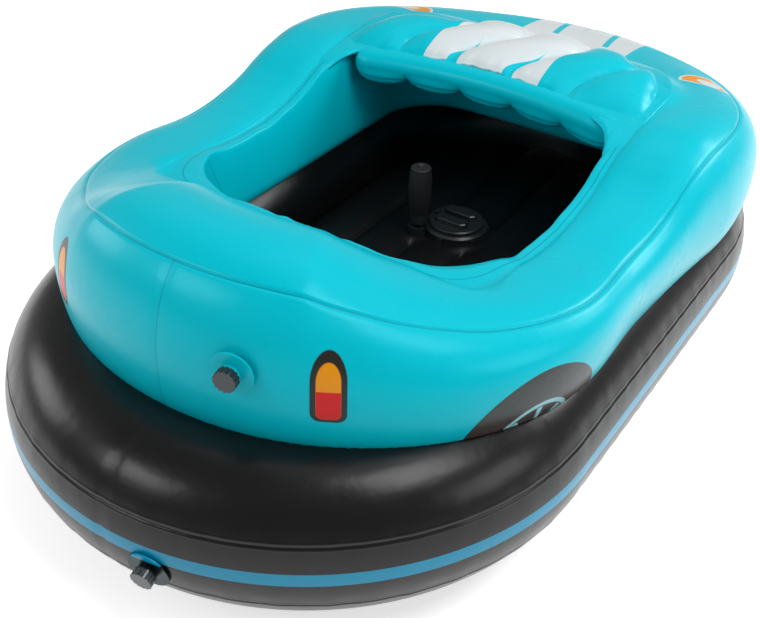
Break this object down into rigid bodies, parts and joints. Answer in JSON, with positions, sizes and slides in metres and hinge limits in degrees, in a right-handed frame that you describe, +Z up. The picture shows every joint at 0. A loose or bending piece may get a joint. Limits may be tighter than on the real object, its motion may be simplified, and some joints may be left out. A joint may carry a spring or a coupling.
{
  "type": "inflatable bumper car",
  "caption": "Ride-on bumper car with a fat inflated ring, a soft car-shaped body, a floor cap and joystick, and a wheeled drive tray.",
  "frame": {"origin": "on the floor, under the middle of the bumper ring", "axes": "+Y points to the nose, +X to the rider's right, +Z up"},
  "size_m": [0.9998, 1.6607, 0.528],
  "materials": {
    "black_vinyl": "satin inflated vinyl",
    "turquoise_vinyl": "satin inflated vinyl",
    "black_moulding": "textured moulding",
    "battery_case": "moulded",
    "cap_moulding": "fine texture",
    "steel": "turned",
    "zinc_steel": "zinc plated",
    "motor_metal": "satin",
    "grip_rubber": "matt",
    "button_metal": "gloss",
    "valve_clear": "clear over vinyl",
    "valve_cap": "smoked clear",
    "wheel_plastic": "moulded",
    "tyre_rubber": "matt",
    "caster_rubber": "satin"
  },
  "bodies": {
    "root": {"bumper_tube": "black_vinyl", "body_hull": "turquoise_vinyl", "dash_panel": "turquoise_vinyl", "dash_lip": "turquoise_vinyl", "floor_panel": "black_vinyl", "drive_tray": "black_moulding", "drive_cover": "black_moulding", "battery": "battery_case", "clamp_collar": "cap_moulding", "twist_cap": "cap_moulding", "stick_base": "cap_moulding", "body_valve_seat": "valve_clear", "body_valve_cap": "valve_cap", "ring_valve_seat": "valve_clear", "ring_valve_cap": "valve_cap", "gear_motor_left": "motor_metal", "wheel_bay_left": "black_moulding", "gear_motor_right": "motor_metal", "wheel_bay_right": "black_moulding", "caster_plate_front": "zinc_steel", "caster_cup_front": "black_moulding", "caster_plate_rear": "zinc_steel", "caster_cup_rear": "black_moulding"},
    "drive_wheel_left": {"drive_axle_left": "steel", "drive_rim_left": "wheel_plastic", "drive_tyre_left": "tyre_rubber"},
    "drive_wheel_right": {"drive_axle_right": "steel", "drive_rim_right": "wheel_plastic", "drive_tyre_right": "tyre_rubber"},
    "caster_front": {"caster_fork_front": "zinc_steel", "caster_axle_front": "steel"},
    "caster_roller_front": {"caster_wheel_front": "caster_rubber"},
    "caster_rear": {"caster_fork_rear": "zinc_steel", "caster_axle_rear": "steel"},
    "caster_roller_rear": {"caster_wheel_rear": "caster_rubber"},
    "stick_gimbal": {"stick_cross": "steel"},
    "stick": {"stick_fork": "steel", "stick_skirt": "grip_rubber", "stick_grip": "grip_rubber", "stick_button": "button_metal"}
  },
  "joints": [
    {"name": "drive_wheel_left_spin", "type": "hinge", "parent": "root", "child": "drive_wheel_left", "pos_m": [-0.18, 0, 0.06], "axis": [1, 0, 0], "continuous": true},
    {"name": "drive_wheel_right_spin", "type": "hinge", "parent": "root", "child": "drive_wheel_right", "pos_m": [0.18, 0, 0.06], "axis": [1, 0, 0], "continuous": true},
    {"name": "caster_front_swivel", "type": "hinge", "parent": "root", "child": "caster_front", "pos_m": [0, 0.3, 0.09], "axis": [0, 0, 1], "continuous": true},
    {"name": "caster_front_roll", "type": "hinge", "parent": "caster_front", "child": "caster_roller_front", "pos_m": [0, 0.278, 0.03], "axis": [1, 0, 0], "continuous": true},
    {"name": "caster_rear_swivel", "type": "hinge", "parent": "root", "child": "caster_rear", "pos_m": [0, -0.18, 0.09], "axis": [0, 0, 1], "continuous": true},
    {"name": "caster_rear_roll", "type": "hinge", "parent": "caster_rear", "child": "caster_roller_rear", "pos_m": [0, -0.202, 0.03], "axis": [1, 0, 0], "continuous": true},
    {"name": "stick_fore_aft", "type": "hinge", "parent": "root", "child": "stick_gimbal", "pos_m": [-0.058, 0.103, 0.203], "axis": [-1, 0, 0], "range_deg": [-12, 12], "stiffness_Nm_per_rad": 0.6},
    {"name": "stick_side", "type": "hinge", "parent": "stick_gimbal", "child": "stick", "pos_m": [-0.058, 0.103, 0.203], "axis": [0, 1, 0], "range_deg": [-12, 12], "stiffness_Nm_per_rad": 0.6}
  ]
}
